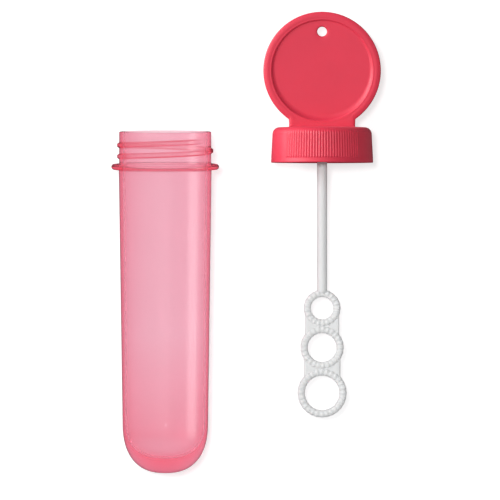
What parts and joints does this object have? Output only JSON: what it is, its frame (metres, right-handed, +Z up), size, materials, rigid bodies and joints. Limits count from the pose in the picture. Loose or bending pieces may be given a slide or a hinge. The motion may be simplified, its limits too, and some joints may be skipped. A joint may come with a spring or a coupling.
{
  "type": "bubble wand",
  "caption": "Pocket bubble set lying open: see-through screw-neck tube, and beside it the cap with a round tag and a three-ring wand.",
  "frame": {"origin": "on the surface the set lies on, under the middle of the whole set", "axes": "+Y along the cap and wand from the rings to the tag, +Z up from the surface, +X from the tube to the cap"},
  "size_m": [0.0844, 0.1444, 0.0337],
  "materials": {
    "tube_plastic": "satin",
    "cap_plastic": "satin",
    "wand_plastic": "satin"
  },
  "bodies": {
    "tube": {"tube": "tube_plastic"},
    "cap": {"cap": "cap_plastic"},
    "wand": {"wand": "wand_plastic"}
  },
  "joints": [
    {"name": "cap_draw", "type": "slide", "parent": "tube", "child": "cap", "axis": [0, 1, 0], "range_m": [0, 0.095]},
    {"name": "wand_turn", "type": "hinge", "parent": "cap", "child": "wand", "pos_m": [0.02378, 0.03098, 0.01615], "axis": [0, 1, 0], "continuous": true}
  ]
}
